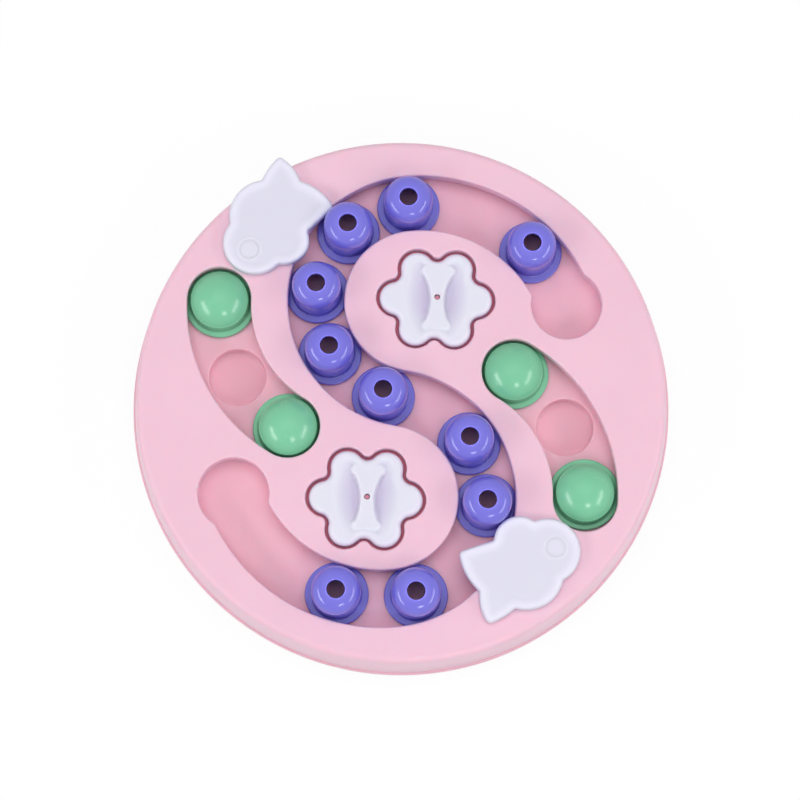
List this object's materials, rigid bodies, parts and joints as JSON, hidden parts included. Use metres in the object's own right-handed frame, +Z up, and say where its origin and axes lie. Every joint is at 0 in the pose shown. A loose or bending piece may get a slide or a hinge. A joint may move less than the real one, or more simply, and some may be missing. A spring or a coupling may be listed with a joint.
{
  "type": "slow feeder puzzle bowl",
  "caption": "Round pet treat puzzle: a two-part shell with an S-shaped track of hollow sliders, curved side slots with domed sliders, flower cups with lift-out lids and turning fish covers.",
  "frame": {"origin": "on the ground under the middle of the disc", "axes": "+Z up out of the deck, -Y towards the user as in the picture, +X to the user's right"},
  "size_m": [0.25, 0.25, 0.0404],
  "materials": {
    "cover_pink": "satin moulded plastic, pale pink",
    "tray_pink": "satin moulded plastic, deeper pink",
    "slider_blue": "glossy moulded plastic, periwinkle blue",
    "dome_green": "glossy moulded plastic, mint green",
    "lid_white": "satin moulded plastic, cool white",
    "screw_steel": "plain steel",
    "foot_rubber": "matte rubber"
  },
  "bodies": {
    "shell": {"base_tray": "tray_pink", "track_cover": "cover_pink", "cover_screws": "screw_steel", "rubber_feet": "foot_rubber", "fish_pivot_1": "lid_white", "fish_pivot_2": "lid_white", "pivot_washer_1": "screw_steel", "pivot_washer_2": "screw_steel"},
    "slider_1": {"track_slider_1": "slider_blue"},
    "slider_2": {"track_slider_2": "slider_blue"},
    "slider_3": {"track_slider_3": "slider_blue"},
    "slider_4": {"track_slider_4": "slider_blue"},
    "slider_5": {"track_slider_5": "slider_blue"},
    "slider_6": {"track_slider_6": "slider_blue"},
    "slider_7": {"track_slider_7": "slider_blue"},
    "slider_8": {"track_slider_8": "slider_blue"},
    "slider_9": {"track_slider_9": "slider_blue"},
    "slider_10": {"track_slider_10": "slider_blue"},
    "dome_1": {"dome_slider_1": "dome_green"},
    "dome_2": {"dome_slider_2": "dome_green"},
    "dome_3": {"dome_slider_3": "dome_green"},
    "dome_4": {"dome_slider_4": "dome_green"},
    "lid_1": {"flower_lid_1": "lid_white"},
    "lid_2": {"flower_lid_2": "lid_white"},
    "fish_1": {"fish_cover_1": "lid_white"},
    "fish_2": {"fish_cover_2": "lid_white"}
  },
  "joints": [
    {"name": "slider_1_travel", "type": "hinge", "parent": "shell", "child": "slider_1", "pos_m": [0.00916, 0.02124, 0.017], "axis": [0, 0, 1], "range_deg": [-25.1, 14.5]},
    {"name": "slider_2_travel", "type": "hinge", "parent": "shell", "child": "slider_2", "pos_m": [0.00916, 0.02124, 0.017], "axis": [0, 0, 1], "range_deg": [-4.6, 0]},
    {"name": "slider_3_travel", "type": "hinge", "parent": "shell", "child": "slider_3", "pos_m": [0.0071, 0.04585, 0.017], "axis": [0, 0, 1], "range_deg": [-7.1, 0]},
    {"name": "slider_4_travel", "type": "hinge", "parent": "shell", "child": "slider_4", "pos_m": [0.0071, 0.04585, 0.017], "axis": [0, 0, 1], "range_deg": [-7.1, 0]},
    {"name": "slider_5_travel", "type": "hinge", "parent": "shell", "child": "slider_5", "pos_m": [0.0071, 0.04585, 0.017], "axis": [0, 0, 1], "range_deg": [-7.1, 0]},
    {"name": "slider_6_travel", "type": "hinge", "parent": "shell", "child": "slider_6", "pos_m": [0.0071, 0.04585, 0.017], "axis": [0, 0, 1], "range_deg": [-3, 9.4]},
    {"name": "slider_7_travel", "type": "hinge", "parent": "shell", "child": "slider_7", "pos_m": [-0.0071, -0.04585, 0.017], "axis": [0, 0, 1], "range_deg": [0, 9.3]},
    {"name": "slider_8_travel", "type": "hinge", "parent": "shell", "child": "slider_8", "pos_m": [-0.0071, -0.04585, 0.017], "axis": [0, 0, 1], "range_deg": [0, 9.4]},
    {"name": "slider_9_travel", "type": "hinge", "parent": "shell", "child": "slider_9", "pos_m": [-0.0071, -0.04585, 0.017], "axis": [0, 0, 1], "range_deg": [-7.4, 9.9]},
    {"name": "slider_10_travel", "type": "hinge", "parent": "shell", "child": "slider_10", "pos_m": [-0.00916, -0.02124, 0.017], "axis": [0, 0, 1], "range_deg": [-54.5, 0]},
    {"name": "dome_1_travel", "type": "hinge", "parent": "shell", "child": "dome_1", "pos_m": [-0.01744, 0.04429, 0.017], "axis": [0, 0, 1], "range_deg": [0, 15.7]},
    {"name": "dome_2_travel", "type": "hinge", "parent": "shell", "child": "dome_2", "pos_m": [-0.01744, 0.04429, 0.017], "axis": [0, 0, 1], "range_deg": [-14.5, 0]},
    {"name": "dome_3_travel", "type": "hinge", "parent": "shell", "child": "dome_3", "pos_m": [0.01744, -0.04429, 0.017], "axis": [0, 0, 1], "range_deg": [-2.6, 13.1]},
    {"name": "dome_4_travel", "type": "hinge", "parent": "shell", "child": "dome_4", "pos_m": [0.01744, -0.04429, 0.017], "axis": [0, 0, 1], "range_deg": [-14.5, 0]},
    {"name": "lid_1_lift", "type": "slide", "parent": "shell", "child": "lid_1", "axis": [0, 0, 1], "range_m": [0, 0.035]},
    {"name": "lid_2_lift", "type": "slide", "parent": "shell", "child": "lid_2", "axis": [0, 0, 1], "range_m": [0, 0.035]},
    {"name": "fish_1_turn", "type": "hinge", "parent": "shell", "child": "fish_1", "pos_m": [-0.0701, 0.0694, 0.02825], "axis": [0, 0, 1], "range_deg": [0, 80]},
    {"name": "fish_2_turn", "type": "hinge", "parent": "shell", "child": "fish_2", "pos_m": [0.0701, -0.0694, 0.02825], "axis": [0, 0, 1], "range_deg": [0, 100]}
  ],
  "couplings": [
    {"joint": "slider_3_travel", "follows": "slider_2_travel", "ratio": 1.5323},
    {"joint": "slider_4_travel", "follows": "slider_2_travel", "ratio": 1.5323},
    {"joint": "slider_5_travel", "follows": "slider_2_travel", "ratio": 1.5323},
    {"joint": "slider_8_travel", "follows": "slider_7_travel", "ratio": 1}
  ]
}
